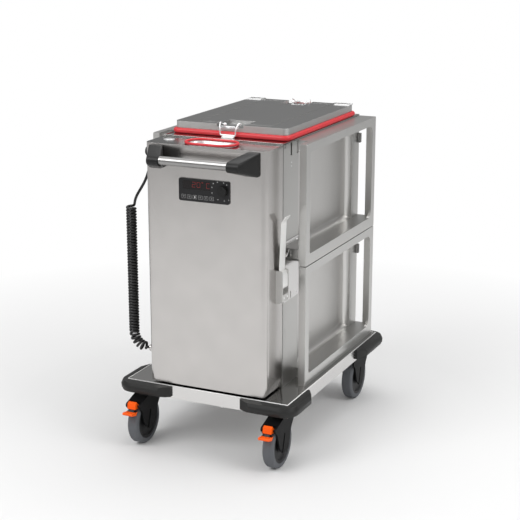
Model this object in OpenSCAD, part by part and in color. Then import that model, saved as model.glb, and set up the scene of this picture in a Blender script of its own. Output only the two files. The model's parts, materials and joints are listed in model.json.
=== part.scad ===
// Enclosed meal tray cart: an insulated body on a wheeled base, with a thick front door that carries
// the controls and the curly mains cord, a lift-off lid over a deep well, and side frames for trays.
// Every module works in cart coordinates: x from the middle, y from the base plate's front edge,
// z from the floor. place() then moves the cart over its origin.

/* [Base] */
// Width of the base plate
base_w = 592; // [580:1:660]
// Length of the base plate
base_l = 820; // [814:1:900]
// Height of the base plate's top above the floor
base_top = 227; // [225:1:250]
// Height of the folded apron
apron_h = 45; // [38:1:48]
// Sheet thickness of the base plate and its rails
base_t = 3; // [2:0.5:4]
// Depth of the rails under the base plate
rail_h = 29; // [24:1:30]
// How far the corner bumpers stand out
bumper_out = 32; // [24:1:45]
// Height of the corner bumpers
bumper_h = 36; // [28:1:42]
// Width of the plain apron between the two front bumpers
bumper_gap = 256; // [200:2:320]
// Length of the front bumpers' arms along the sides of the base
bumper_arm = 165; // [130:1:240]
// Length of the rear bumpers' arms along the sides of the base
bumper_rear_arm = 215; // [130:1:240]

/* [Casters] */
// Wheel diameter
wheel_d = 160; // [140:1:162]
// Tyre width
tyre_w = 38; // [30:1:42]
// Diameter of the hub disc inside the tyre
hub_d = 126; // [110:1:140]
// Axle diameter
axle_d = 10; // [8:1:14]
// Distance of the swivel axes from the sides of the base plate
caster_side = 46; // [46:1:60]
// Distance of the front swivel axes from the base plate's front edge
caster_front = 70; // [60:1:90]
// Distance of the rear swivel axes from the base plate's rear edge
caster_rear = 55; // [55:1:80]
// Distance of the axle from the swivel axis
trail = 50; // [40:1:56]
// Wall thickness of the fork's cheeks
fork_wall = 6; // [4:0.5:8]

/* [Body] */
// Width of the body and of the door
body_w = 432; // [420:1:440]
// Length of the body
body_l = 674; // [650:1:676]
// Height of the body
body_h = 815; // [790:1:860]
// Distance of the body's front from the base plate's front edge
body_y = 138; // [130:1:144]
// Clear width of the chamber
chamber_w = 352; // [346:1:360]
// Height of the chamber
chamber_h = 584; // [540:1:590]
// Depth of the chamber
chamber_l = 630; // [600:1:640]
// Height of the chamber's floor above the base plate
chamber_up = 35; // [30:1:60]
// Depth of the side bays pressed into the body
bay_d = 25; // [16:1:28]
// Width of the front post beside the bays
front_post = 120; // [100:1:140]
// Width of the rear post beside the bays
rear_post = 65; // [50:1:80]
// Thickness of the chamber liner
liner_t = 2; // [1:0.5:3]

/* [Side frames] */
// Distance of the frames' outer faces from the middle of the cart
frame_x = 279; // [270:1:290]
// Distance of the frames' front ends from the body's front
frame_set = 40; // [39:1:60]
// Height of the frames' bottom rails
frame_rail = 35; // [30:1:45]
// Width of the frames' front posts and top rails beside their windows
frame_post = 31; // [24:1:45]
// Height of the lower frame
frame_split = 411; // [390:1:430]
// Sheet thickness of the frames
frame_t = 3; // [2:0.5:4]
// Radius of the windows' rear corners
window_r = 30; // [15:1:45]
// Radius of the windows' front corners
window_front_r = 10; // [6:1:30]
// Width of the flange at a frame's rear end
rear_flange = 34; // [20:1:40]
// Width of the flange at a frame's front end
front_flange = 24; // [16:1:36]

/* [Door] */
// Thickness of the door
door_t = 126; // [110:1:126]
// Gap between the door and the body
door_gap = 3.5; // [2.5:0.5:5]
// Gap between the door and the base plate
door_lift = 6; // [4:1:12]
// Radius of the door's front edges
door_r = 22; // [10:1:30]
// Sheet thickness of the door
door_sheet = 3; // [2:0.5:4]
// Diameter of the handle tube
tube_d = 28; // [22:1:34]
// Distance of the handle tube from the door's face
tube_out = 72; // [64:1:95]
// Distance of the handle tube below the door's top
tube_down = 40; // [34:1:60]
// Half the free length of the handle tube
grip_half = 119; // [100:1:124]
// Width of the control panel
panel_w = 180; // [170:1:200]
// Height of the control panel
panel_h = 74; // [66:1:84]
// Distance of the panel's centre below the door's top
panel_down = 141; // [130:1:200]

/* [Lid] */
// Distance of the lid's sides from the body's sides
lid_side = 12; // [11:1:20]
// Distance of the lid's front from the body's front
lid_front = 56; // [52:1:64]
// Distance of the lid's rear from the body's rear
lid_rear = 32; // [30:1:40]
// Thickness of the lid above its seal
lid_t = 22; // [16:1:30]
// Thickness of the lid seal's bulb
seal_d = 17.4; // [14:0.2:19]
// Depth of the well under the lid
well_depth = 150; // [100:1:154]

/* [Cord] */
// Diameter of the cord
cord_d = 9; // [7:0.5:9]
// Outer diameter of the curls
curl_d = 36; // [34:1:40]
// Distance between neighbouring curls
curl_pitch = 9.9; // [9.8:0.1:12]

/* [Hidden] */
$fn = 48;

// Clearances: between seated pieces, and radially round a pin
seat = 0.3;
running = 0.05;
cut = 1;

// Base and its place over the origin
handle_nose = tube_d / 2 + 3;
door_y = body_y - door_gap - door_t;
tube_y = door_y - tube_out;
pedal_l = 48;
front_reach = max(handle_nose - tube_y, pedal_l + trail + 0.78 * wheel_d / 2 - caster_front);
front_y = (front_reach - base_l - bumper_out) / 2;
apron_z = base_top - apron_h;
rail_z = base_top - base_t - rail_h;
rail_out = base_w / 2 - base_t;
rail_in = rail_out - 88;
stud_xs = [-180, -50, 50, 180];
stud_r = 6;
stud_y = 22;
stud_drop = 10;

// Casters: the plate is bolted under the rail, the race stands under the plate
wheel_r = wheel_d / 2;
caster_x = base_w / 2 - caster_side;
plate_w = 84;
plate_l = 104;
plate_t = 5;
race_h = 11;
race_r = 34;
king_r = 8;
crown_top = rail_z - plate_t - race_h - seat;
crown_low = wheel_d + 6;
cheek_in = tyre_w / 2 + 2;
cheek_out = cheek_in + fork_wall;
cover_r = wheel_r + 4;
cover_t = 5;
leg_r = 22;
pivot_y = -trail - 0.78 * wheel_r;
pivot_z = wheel_r + 0.87 * wheel_r;
pedal_w = 2 * cheek_in - 6;
pedal_pin_r = 3;
rear_axis = base_l - caster_rear;
corners = [[-1, caster_front], [1, caster_front], [-1, rear_axis], [1, rear_axis]];

// Body, chamber, bays and top
body_x = body_w / 2;
body_end = body_y + body_l;
body_top = base_top + body_h;
chamber_z = base_top + chamber_up;
chamber_r = 20;
chamber_end = body_y + chamber_l;
liner_gap = 0.2;
frame_y = body_y + frame_set;
frame_end = body_end;
split_z = base_top + frame_split;
frame_gap = 3;
bay_y = body_y + front_post;
bay_end = body_end - rear_post;
bay_x = body_x - bay_d;
trough_y = bay_y - 8;
sill = 1.5;
deck_t = 3;
deck_top = body_top + deck_t;
rim_h = 2;
rim_w = 4;

// Lid, its seal and the well under it: all centred on one line across the cart
lid_w = body_w - 2 * lid_side;
lid_l = body_l - lid_front - lid_rear;
lid_y = body_y + lid_front + lid_l / 2;
seal_r = seal_d / 2;
seal_out = 10;
seal_z = deck_top + seat + seal_r;
lid_z = deck_top + seat + seal_d + seat;
lid_top = lid_z + lid_t;
well_w = 325;
well_l = 530;
well_lip = 13;
well_t = 2;
well_z = deck_top + well_t;
skirt_in = seal_d - seal_out + 2;

// Door, its height and its hinge line
door_z = base_top + door_lift;
door_back = body_y - door_gap;
liner_y = door_back - door_sheet;
hinge_x = -body_x - 10;
hinge_y = body_y - 8;
hinge_zs = [door_z + 67, door_z + 375, body_top - 160];
hinge_h = 60;
knuckle_r = 7;
hinge_pin_r = 3;
leaf_t = 2.7;

// Latch on the door's right side
latch_y = door_y + 72;
latch_w = 50;
latch_z = base_top + 314;
latch_h = 104;
latch_out = 24;
latch_pivot_z = latch_z + 50;
latch_pivot_x = body_x + 14;
ear_t = 4;
ear_r = 10;
keeper_t = 2;
keeper_low = latch_z - 20;
keeper_high = latch_z + 184;

// Cord: gland on the door's left side, coil beside the door, plug parked near the top
cord_r = cord_d / 2;
curl_r = curl_d / 2 - cord_r;
cord_y = door_y + 41.5;
gland_z = base_top + 104;
gland_tip = -body_x - 20;
coil_x = -body_x - 79;
coil_bend = 50;
plug_x = -body_x - 20;
plug_y = cord_y + 26.5;
plug_z = body_top - 42;
plug_r = 17;
relief_z = plug_z - 40;
coil_top = relief_z - 142;
// Points of the straight tail: outwards from the plug, across from the coil, up from the plug's relief
tail_route = [
    [45.5, 0, -132], [45.5, 0, -122], [43, 0.5, -112], [38, 2, -102], [30.5, 4.5, -91], [21.5, 7.5, -80],
    [14, 10.5, -69], [8.5, 14, -57], [4.5, 17.5, -44], [2, 21.5, -30], [0.5, 25, -17], [0, 26.5, -9], [0, 26.5, 0],
];
tail_path = [for (p = tail_route) [plug_x - p[0], cord_y + p[1], relief_z + p[2]]];

// ---- shapes used by several pieces ----

module place() translate([0, front_y, 0]) children();

// A flat shape drawn in x and z, run along y
module along_y(y0, y1) translate([0, y1, 0]) rotate([90, 0, 0]) linear_extrude(y1 - y0) children();

// A flat shape drawn in y and z, run along x
module along_x(x0, x1) translate([x0, 0, 0]) rotate([90, 0, 90]) linear_extrude(x1 - x0) children();

module along_z(z0, z1) translate([0, 0, z0]) linear_extrude(z1 - z0) children();

module block(low, high) translate(low) cube(high - low);

module both_sides() {
    children();
    mirror([1, 0, 0]) children();
}

module on_left() mirror([1, 0, 0]) children();

// Rectangle with round corners, from one corner to the other
module round_rect(low, high, r) {
    translate(low + [r, 0]) square([high[0] - low[0] - 2 * r, high[1] - low[1]]);
    translate(low + [0, r]) square([high[0] - low[0], high[1] - low[1] - 2 * r]);
    for (x = [low[0] + r, high[0] - r], y = [low[1] + r, high[1] - r]) translate([x, y]) circle(r);
}

module disc_x(x0, x1, r) translate([x0, 0, 0]) rotate([0, 90, 0]) cylinder(h = x1 - x0, r = r);

// Path with its corners rounded
function rounded(p, r) = [
    p[0],
    for (i = [1 : len(p) - 2]) let (a = p[i] + r * unit(p[i - 1] - p[i]), b = p[i] + r * unit(p[i + 1] - p[i]))
        each [a, (a + 2 * p[i] + b) / 4, b],
    p[len(p) - 1],
];

// ---- base ----

// Folded sheet under the whole cart, with rails for the casters and studs behind the front apron
module base_pan() place() color("gainsboro") {
    difference() {
        block([-base_w / 2, 0, apron_z], [base_w / 2, base_l, base_top]);
        block([-rail_out, base_t, apron_z - cut], [rail_out, base_l - base_t, base_top - base_t]);
    }
    both_sides() {
        block([rail_in, base_t, rail_z], [rail_out, base_l - base_t, rail_z + base_t]);
        block([rail_in, base_t, rail_z], [rail_in + base_t, base_l - base_t, base_top - base_t]);
    }
    for (y = [base_l * 0.2, base_l * 0.78]) block([-rail_in, y, rail_z], [rail_in, y + base_t, base_top - base_t]);
    for (x = stud_xs) {
        block([x - stud_r, base_t, rail_z], [x + stud_r, stud_y + stud_r, rail_z + base_t]);
        block([x - stud_r, stud_y - stud_r, rail_z], [x + stud_r, stud_y + stud_r, base_top - base_t]);
        translate([x, stud_y, apron_z - stud_drop]) cylinder(h = rail_z - apron_z + stud_drop, r = stud_r);
    }
}

// The bumper's section, outwards from the corner centre: flat top, sloped upper face, steep lower face
bumper_c = 24;
module bumper_section() {
    z = base_top - 3 - bumper_h;
    polygon([
        [bumper_c / 2, z + 2], [bumper_c + bumper_out * 0.5, z], [bumper_c + bumper_out * 0.85, z + bumper_h * 0.06],
        [bumper_c + bumper_out * 0.97, z + bumper_h * 0.3], [bumper_c + bumper_out, z + bumper_h * 0.58],
        [bumper_c + bumper_out * 0.93, z + bumper_h * 0.72], [bumper_c + bumper_out * 0.8, z + bumper_h * 0.96],
        [bumper_c + bumper_out * 0.3, z + bumper_h], [bumper_c / 2, z + bumper_h],
    ]);
}

// Moulded corner bumper at the front right, seated on the apron; both ends slope back to the apron
module bumper(arm) {
    cx = base_w / 2 - bumper_c;
    taper = 45;
    far = bumper_out + cut;
    blunt = bumper_out * 0.2;
    difference() {
        union() {
            translate([cx, bumper_c, 0]) rotate([0, 0, -90]) rotate_extrude(angle = 90) bumper_section();
            translate([bumper_gap / 2, bumper_c, 0]) mirror([0, 1, 0]) along_x(0, cx - bumper_gap / 2) bumper_section();
            translate([cx, 0, 0]) along_y(bumper_c, arm) bumper_section();
        }
        block([-base_w, 0, 0], [base_w / 2, base_l, base_top + cut]);
        along_z(0, base_top + cut) polygon([
            [bumper_gap / 2 - cut, -blunt], [bumper_gap / 2 + taper, -far], [bumper_gap / 2 - cut, -far],
        ]);
        along_z(0, base_top + cut) polygon([
            [base_w / 2 + blunt, arm + cut], [base_w / 2 + far, arm - taper], [base_w / 2 + far, arm + cut],
        ]);
    }
}

module front_bumper() bumper(bumper_arm);
module rear_bumper() translate([0, base_l, 0]) mirror([0, 1, 0]) bumper(bumper_rear_arm);

module bumper_front_right() place() color("dimgray") front_bumper();
module bumper_front_left() place() color("dimgray") on_left() front_bumper();
module bumper_rear_right() place() color("dimgray") rear_bumper();
module bumper_rear_left() place() color("dimgray") on_left() rear_bumper();

// ---- casters ----

module at_caster(corner) place() translate([corner[0] * caster_x, corner[1], 0]) children();

// Bolted plate, swivel race and king pin of all four casters
module caster_plates() color("silver")
    for (corner = corners) at_caster(corner) difference() {
        union() {
            block([-plate_w / 2, -plate_l / 2, rail_z - plate_t], [plate_w / 2, plate_l / 2, rail_z]);
            translate([0, 0, rail_z - plate_t - race_h]) cylinder(h = race_h, r = race_r);
            translate([0, 0, crown_low]) cylinder(h = rail_z - crown_low, r = king_r);
        }
        for (x = [-1, 1], y = [-1, 1]) translate([x * (plate_w / 2 - 10), y * (plate_l / 2 - 12), rail_z - plate_t - cut])
            cylinder(h = plate_t + 2 * cut, r = 4.5);
    }

// Side outline of a fork: crown, front slope with the pedal's ear, and a broad cheek down to the axle
module fork_outline() {
    ear = pedal_pin_r + 6;
    polygon([
        [race_r, crown_top], [-race_r - 8, crown_top], [-race_r - 28, crown_top - 5],
        [pivot_y, pivot_z + ear], [pivot_y - ear, pivot_z - 2], [pivot_y + 8, pivot_z - 20],
        [-trail - 46, wheel_r + 24], [-trail - 38, wheel_r - 2], [-trail - leg_r, wheel_r - 16],
        [-trail + leg_r, wheel_r - 16], [-trail + 40, wheel_r + 8], [-trail + 54, wheel_r + 44],
        [race_r, crown_low - 4],
    ]);
    translate([pivot_y, pivot_z]) circle(ear);
    translate([-trail, wheel_r - 6]) circle(leg_r);
}

module fork() {
    slot_l = 28;
    difference() {
        union() {
            difference() {
                along_x(-cheek_out, cheek_out) fork_outline();
                block([-cheek_in, -2 * wheel_d, -cut], [cheek_in, wheel_d, crown_low - 4]);
            }
            // cover over the wheel, from the crown to just behind the pedal
            difference() {
                translate([0, -trail, wheel_r]) disc_x(-cheek_in - 1, cheek_in + 1, cover_r + cover_t);
                translate([0, -trail, wheel_r]) disc_x(-cheek_out, cheek_out, cover_r);
                block([-wheel_d, -2 * wheel_d, -wheel_d], [wheel_d, wheel_d, pivot_z - 8]);
                block([-wheel_d, -2 * wheel_d, -wheel_d], [wheel_d, pivot_y + 15, wheel_d * 2]);
                block([-wheel_d, -8, -wheel_d], [wheel_d, wheel_d, wheel_d * 2]);
            }
            translate([0, -trail, wheel_r]) disc_x(-cheek_out, cheek_out, axle_d / 2);
        }
        translate([0, 0, crown_low - 5]) cylinder(h = 40, r = king_r + running);
        translate([0, 0, crown_top]) cylinder(h = 40, r = race_r * 2);
        // long slot in the outer face of each cheek, leaning forward past the axle
        for (side = [-1, 1]) translate([side * (cheek_out - 1), -trail - 7, wheel_r + 10]) rotate([-16, 0, 0]) {
            for (z = [-slot_l, slot_l]) translate([0, 0, z]) rotate([0, 90, 0]) cylinder(h = 4, r = 4.5, center = true);
            cube([4, 9, 2 * slot_l], center = true);
        }
        translate([0, pivot_y, pivot_z]) disc_x(-pedal_w / 2 - 1, pedal_w / 2 + 1, 11);
    }
    translate([0, -trail, wheel_r]) for (s = [-1, 1]) translate([s * (cheek_out - 3), 0, 0])
        disc_x(-3, 3, axle_d / 2 + 2);
}

module pedal_pin() translate([0, pivot_y, pivot_z]) disc_x(-cheek_out + 1, cheek_out - 1, pedal_pin_r);

module braked_fork(corner) at_caster(corner) color("dimgray") {
    fork();
    pedal_pin();
}

module caster_fork_fl() braked_fork(corners[0]);
module caster_fork_fr() braked_fork(corners[1]);
module caster_fork_rl() at_caster(corners[2]) color("dimgray") fork();
module caster_fork_rr() at_caster(corners[3]) color("dimgray") fork();

// Tyre with round shoulders
module tyre() translate([0, -trail, wheel_r]) rotate([0, 90, 0]) {
    shoulder = min(8, (wheel_r - hub_d / 2) / 2);
    rotate_extrude() {
        translate([hub_d / 2, -tyre_w / 2]) square([wheel_r - hub_d / 2 - shoulder, tyre_w]);
        translate([hub_d / 2, shoulder - tyre_w / 2]) square([wheel_r - hub_d / 2, tyre_w - 2 * shoulder]);
        for (s = [-1, 1]) translate([wheel_r - shoulder, s * (tyre_w / 2 - shoulder)]) circle(shoulder);
    }
}

module caster_tyre_fl() at_caster(corners[0]) color("slategray") tyre();
module caster_tyre_fr() at_caster(corners[1]) color("slategray") tyre();
module caster_tyre_rl() at_caster(corners[2]) color("slategray") tyre();
module caster_tyre_rr() at_caster(corners[3]) color("slategray") tyre();

// Hub disc: dished on both faces, with a boss that runs on the axle
module hub() translate([0, -trail, wheel_r]) rotate([0, 90, 0]) rotate_extrude() {
    rim_r = hub_d / 2 - 0.2;
    polygon([
        [axle_d / 2 + running, -cheek_in + seat], [16, -cheek_in + seat], [24, -tyre_w / 2 + 6],
        [rim_r - 12, -tyre_w / 2 + 6], [rim_r - 8, -tyre_w / 2 + 1], [rim_r, -tyre_w / 2 + 1],
        [rim_r, tyre_w / 2 - 1], [rim_r - 8, tyre_w / 2 - 1], [rim_r - 12, tyre_w / 2 - 6],
        [24, tyre_w / 2 - 6], [16, cheek_in - seat], [axle_d / 2 + running, cheek_in - seat],
    ]);
}

module caster_hub_fl() at_caster(corners[0]) color("dimgray") hub();
module caster_hub_fr() at_caster(corners[1]) color("dimgray") hub();
module caster_hub_rl() at_caster(corners[2]) color("dimgray") hub();
module caster_hub_rr() at_caster(corners[3]) color("dimgray") hub();

// Rocking brake pedal: release block in the fork's cover, a narrow neck below it and a broad tread
module pedal() translate([0, pivot_y, pivot_z]) difference() {
    half = pedal_w / 2;
    union() {
        disc_x(-half + 3, half - 3, 8);
        along_x(-half + 3, half - 3) polygon([[0, 7], [-6, 17], [-16, 13], [-19, -6], [-7, -7]]);
        along_x(-half + 8, half - 8) polygon([[-2, -6], [-12, -2], [-24, -18], [-14, -24]]);
        along_x(-half, half) polygon([
            [-7, -15], [-20, -15], [4 - pedal_l, -11], [-pedal_l, -15], [3 - pedal_l, -20], [-18, -27],
        ]);
    }
    disc_x(-pedal_w, pedal_w, pedal_pin_r + running);
}

module brake_pedal_fl() at_caster(corners[0]) color("orangered") pedal();
module brake_pedal_fr() at_caster(corners[1]) color("orangered") pedal();

// ---- body ----

// Tool that presses one side bay: flat back with rounded-in edges all round
module bay_tool(z0, z1) {
    r = bay_d - 2;
    intersection() {
        along_y(bay_y, bay_end) {
            translate([bay_x, z0 + r]) square([bay_d + cut, z1 - z0 - 2 * r]);
            translate([bay_x + r, z0]) square([bay_d + cut - r, z1 - z0]);
            for (z = [z0 + r, z1 - r]) translate([bay_x + r, z]) circle(r);
        }
        along_z(z0, z1) {
            translate([bay_x, bay_y + r]) square([bay_d + cut, bay_end - bay_y - 2 * r]);
            translate([bay_x + r, bay_y]) square([bay_d + cut - r, bay_end - bay_y]);
            for (y = [bay_y + r, bay_end - r]) translate([bay_x + r, y]) circle(r);
        }
    }
}

// Insulated body with the chamber from the front, the well from the top and two bays a side
module body_shell() place() color("silver") difference() {
    block([-body_x, body_y, base_top], [body_x, body_end, body_top]);
    along_y(body_y - cut, chamber_end)
        round_rect([-chamber_w / 2, chamber_z], [chamber_w / 2, chamber_z + chamber_h], chamber_r);
    block([-well_w / 2 + 5, lid_y - well_l / 2 + 5, body_top - well_depth - 4],
        [well_w / 2 - 5, lid_y + well_l / 2 - 5, body_top + cut]);
    both_sides() {
        bay_tool(base_top + frame_rail, split_z - frame_rail);
        bay_tool(split_z + frame_gap + frame_rail, body_top - frame_rail);
        // slots in the top of the front post
        for (slot = [[14, 3, 12], [62, 16, 42], [113, 3, 42]])
            block([body_x - slot[1], body_y + slot[0] - 6, body_top - slot[2]],
                [body_x + cut, body_y + slot[0] + 6, body_top + cut]);
    }
}

// Thin inner box of the chamber
module body_liner() place() color("gainsboro") difference() {
    half = chamber_w / 2 - liner_gap;
    low = chamber_z + liner_gap;
    high = chamber_z + chamber_h - liner_gap;
    along_y(body_y, chamber_end - liner_gap) round_rect([-half, low], [half, high], chamber_r);
    along_y(body_y - cut, chamber_end - liner_gap - liner_t)
        round_rect([-half + liner_t, low + liner_t], [half - liner_t, high - liner_t], chamber_r - liner_t);
}

// Two racks of angle runners, standing on the liner's floor against its walls
rack_t = 3;
rack_pitch = 60;
rack_run = 15;
module tray_racks() place() color("gainsboro") both_sides() {
    wall = chamber_w / 2 - liner_gap - liner_t;
    foot = chamber_z + liner_gap + liner_t + chamber_r;
    top = chamber_z + chamber_h - chamber_r - 4;
    y0 = body_y + 40;
    y1 = chamber_end - 60;
    for (y = [y0 + 20, y1 - 50]) block([wall - rack_t, y, foot], [wall, y + 30, top]);
    for (z = [foot + 30 : rack_pitch : top - 30]) {
        block([wall - rack_t - rack_run, y0, z], [wall - rack_t, y1, z + 2]);
        block([wall - rack_t - 2, y0, z], [wall - rack_t, y1, z + 12]);
    }
}

// Deck over the body, with a raised rim and the opening of the well
module top_deck() place() color("silver") difference() {
    block([-body_x, body_y - 2, body_top], [body_x, body_end, deck_top + rim_h]);
    block([-body_x + rim_w, body_y - 2 + rim_w, deck_top], [body_x - rim_w, body_end - rim_w, deck_top + rim_h + cut]);
    block([-well_w / 2 + well_lip - 2, lid_y - well_l / 2 + well_lip - 2, body_top - cut],
        [well_w / 2 - well_lip + 2, lid_y + well_l / 2 - well_lip + 2, deck_top + cut]);
}

// Deep pan that hangs by its lip in the deck's opening
module well_pan() place() color("gainsboro") {
    low = [-well_w / 2, lid_y - well_l / 2];
    high = [well_w / 2, lid_y + well_l / 2];
    lip = [well_lip, well_lip];
    wall = [well_t, well_t];
    difference() {
        union() {
            along_z(deck_top, well_z) round_rect(low, high, 20);
            along_z(well_z - well_depth, well_z) round_rect(low + lip, high - lip, 30);
        }
        along_z(well_z - well_depth + well_t, well_z + cut) round_rect(low + lip + wall, high - lip - wall, 28);
    }
}

// Rubber blocks high on the rear edges of the rear posts
module rear_stops() place() color("dimgray") both_sides()
    for (z = [split_z - frame_rail - 72, body_top - 97])
        block([body_x, body_end - 14, z], [body_x + 10, body_end, z + 34]);

// ---- side frames ----

// Window outline: one radius at the front, another at the rear
module window_shape(low, high, front_r, rear_r) {
    middle = (low[0] + high[0]) / 2;
    intersection() {
        round_rect(low, [high[0] + rear_r, high[1]], front_r);
        translate(low) square([middle - low[0] + cut, high[1] - low[1]]);
    }
    intersection() {
        round_rect([low[0] - rear_r, low[1]], high, rear_r);
        translate([middle, low[1]]) square([high[0] - middle, high[1] - low[1]]);
    }
}

// Pressed frame with a window, flanges at its four ends and the tray trough behind the window
module side_frame(z0, z1) {
    inner = body_x + seat;
    face = frame_x - frame_t;
    floor_z = z0 + frame_rail;
    low = [frame_y + frame_post, floor_z + sill];
    high = [frame_end - frame_post, z1 - frame_post + 3];
    fold = [2, 2];
    difference() {
        along_x(face, frame_x) round_rect([frame_y, z0], [frame_end, z1], 3);
        along_x(face - cut, frame_x + cut) window_shape(low, high, window_front_r, window_r);
    }
    // window edge turned in, seen through the window as a narrow return; it stands on the trough's floor
    difference() {
        along_x(face - 6, face + cut) {
            window_shape(low - fold, high + fold, window_front_r + 2, window_r + 2);
            translate(low - fold) square([high[0] - low[0] + 4, window_r]);
        }
        along_x(face - 6 - cut, frame_x + cut) window_shape(low, high, window_front_r, window_r);
    }
    block([frame_x - rear_flange, frame_end - frame_t, z0], [frame_x - 1, frame_end, z1]);
    block([frame_x - front_flange, frame_y, z0], [frame_x - 1, frame_y + frame_t, z1]);
    for (z = [z0, z1 - frame_t]) {
        block([inner, trough_y, z], [frame_x - 1, frame_end, z + frame_t]);
        block([frame_x - front_flange, frame_y, z], [frame_x - 1, trough_y + cut, z + frame_t]);
    }
    // trough floor and its closed ends
    block([inner, trough_y, floor_z - frame_t], [face, frame_end, floor_z]);
    block([inner, trough_y, z0], [face + 1, trough_y + frame_t, floor_z]);
    block([inner, frame_end - frame_t, z0], [frame_x - rear_flange + cut, frame_end, floor_z]);
}

module lower_frame() side_frame(base_top, split_z);
module upper_frame() side_frame(split_z + frame_gap, body_top);

// Room for the keeper plate where the right frames meet the post
module keeper_room() block([body_x, body_y, keeper_low - 1], [body_x + keeper_t + seat, bay_y + 1, keeper_high + 1]);

module frame_lower_right() place() color("lightgray") difference() {
    lower_frame();
    keeper_room();
}
module frame_lower_left() place() color("lightgray") on_left() lower_frame();
module frame_upper_right() place() color("lightgray") difference() {
    upper_frame();
    keeper_room();
}
module frame_upper_left() place() color("lightgray") on_left() upper_frame();

// ---- lid ----

// Lid with a shallow skirt, an engraved field, stacking lugs and two latch recesses
module lid_field(inset) round_rect([-133 - inset, lid_y - 262 - inset], [133 + inset, lid_y + 262 + inset], 24 + inset);

recess_half = 48;
recess_l = 92;
recess_d = 10;
module lid() place() color("dimgray") {
    half = [lid_w / 2, lid_l / 2];
    mid = [0, lid_y];
    skirt = [skirt_in, skirt_in];
    difference() {
        union() {
            along_z(lid_z, lid_top) round_rect(mid - half, mid + half, 18);
            along_z(well_z + cut, lid_z) round_rect(mid - half + skirt, mid + half - skirt, 14);
            for (x = [-1, 1], y = [-1, 1]) translate([x * (lid_w / 2 - 38), lid_y + y * (lid_l / 2 - 16), lid_top])
                along_z(0, 3.5) round_rect([-32, -9], [32, 9], 8);
        }
        along_z(lid_top - 1.5, lid_top + cut) difference() {
            lid_field(1.5);
            lid_field(-1.5);
        }
        for (y = [lid_y - lid_l / 2, lid_y + lid_l / 2 - recess_l])
            block([-recess_half, y - cut, lid_top - recess_d], [recess_half, y + recess_l + cut, lid_top + 5]);
    }
}

// Round seal bulb along the lid's edge
module lid_seal() place() color("crimson") translate([0, lid_y, seal_z]) {
    x = lid_w / 2 + seal_out - seal_r;
    y = lid_l / 2 + seal_out - seal_r;
    r = 16;
    for (s = [-1, 1]) {
        translate([s * x, y - r, 0]) rotate([90, 0, 0]) cylinder(h = 2 * (y - r), r = seal_r);
        translate([-x + r, s * y, 0]) rotate([0, 90, 0]) cylinder(h = 2 * (x - r), r = seal_r);
    }
    for (i = [0 : 3]) {
        sx = (i == 0 || i == 3) ? 1 : -1;
        sy = (i < 2) ? 1 : -1;
        translate([sx * (x - r), sy * (y - r), 0]) rotate([0, 0, 90 * i])
            rotate_extrude(angle = 90) translate([r, 0]) circle(seal_r);
    }
}

// Latch pieces are drawn at the front end of the lid and mirrored to the rear
wire_r = 2;
eye_x = 32;
module at_rear_end() translate([0, 2 * lid_y, 0]) mirror([0, 1, 0]) children();
latch_front = lid_y - lid_l / 2;
eye_y = latch_front + 14;
eye_z = lid_top - recess_d + 8;

module latch_mount() {
    floor_z = lid_top - recess_d;
    block([-eye_x + 6, latch_front + 6, floor_z], [eye_x - 6, latch_front + 34, floor_z + 2]);
    for (s = [-1, 1]) difference() {
        union() {
            block([s * (eye_x - 8) - 2.5, eye_y - 5, floor_z], [s * (eye_x - 8) + 2.5, eye_y + 5, eye_z]);
            translate([s * (eye_x - 8), eye_y, eye_z]) disc_x(-2.5, 2.5, 5);
        }
        translate([s * (eye_x - 8), eye_y, eye_z]) disc_x(-4, 4, wire_r + running);
    }
}

module lid_latch_mounts() place() color("white") {
    latch_mount();
    at_rear_end() latch_mount();
}

// Wire bail with its small lever plate, closed in front of the seal
catch_y = latch_front - 15.5;
catch_h = 8;
bar_y = catch_y - wire_r - seat;
bar_z = deck_top + 5;
bail_side = [
    [eye_x - 13, eye_y, eye_z], [eye_x + 5, eye_y, eye_z],
    [eye_x + 12, eye_y - 7, eye_z + 15], [eye_x + 7, latch_front - 9, eye_z + 9],
    [eye_x - 3, bar_y, eye_z - 6], [eye_x - 5, bar_y, bar_z + 6], [eye_x - 10, bar_y, bar_z],
];
function across(p) = [for (i = [len(p) - 1 : -1 : 0]) [-p[i][0], p[i][1], p[i][2]]];
module bail() {
    tube(rounded(concat(bail_side, across(bail_side)), 2.5), wire_r, 8);
    block([-eye_x + 3, bar_y - 1.5, eye_z - 6], [eye_x - 3, bar_y + 1.5, eye_z + 5]);
}

module lid_bail_front() place() color("white") bail();
module lid_bail_rear() place() color("white") at_rear_end() bail();

// Upright plates on the deck, behind each bail's bar
module deck_catch() {
    block([-22, catch_y, deck_top], [22, catch_y + 2.5, deck_top + catch_h]);
    block([-22, catch_y - 8, deck_top], [22, catch_y + 2.5, deck_top + 2]);
}

module lid_catches() place() color("white") {
    deck_catch();
    at_rear_end() deck_catch();
}

// ---- door ----

vent_half = 84;
vent_y = door_y + 54;
vent_r = 44;
// Long oval with round ends, grown by a margin
module vent_oval(grow) {
    for (s = [-1, 1]) translate([s * (vent_half - vent_r), vent_y]) circle(vent_r + grow);
    translate([-vent_half + vent_r, vent_y - vent_r - grow])
        square([2 * (vent_half - vent_r), 2 * (vent_r + grow)]);
}

// Plan of the door: round front edges
module door_plan(inset) {
    x = body_x - inset;
    y = door_y + inset;
    r = door_r - inset;
    translate([-x, y + r]) square([2 * x, liner_y - y - r]);
    translate([-x + r, y]) square([2 * (x - r), r + cut]);
    for (s = [-1, 1]) translate([s * (x - r), y + r]) circle(r);
}

// Front outline of the door: its two lower corners are cut back
foot_in = 9;
foot_up = 42;
module door_front(inset) {
    x = body_x - inset;
    z = door_z + inset;
    polygon([
        [-x, body_top], [-x, z + foot_up], [-x + foot_in, z], [x - foot_in, z], [x, z + foot_up], [x, body_top],
    ]);
}

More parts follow.
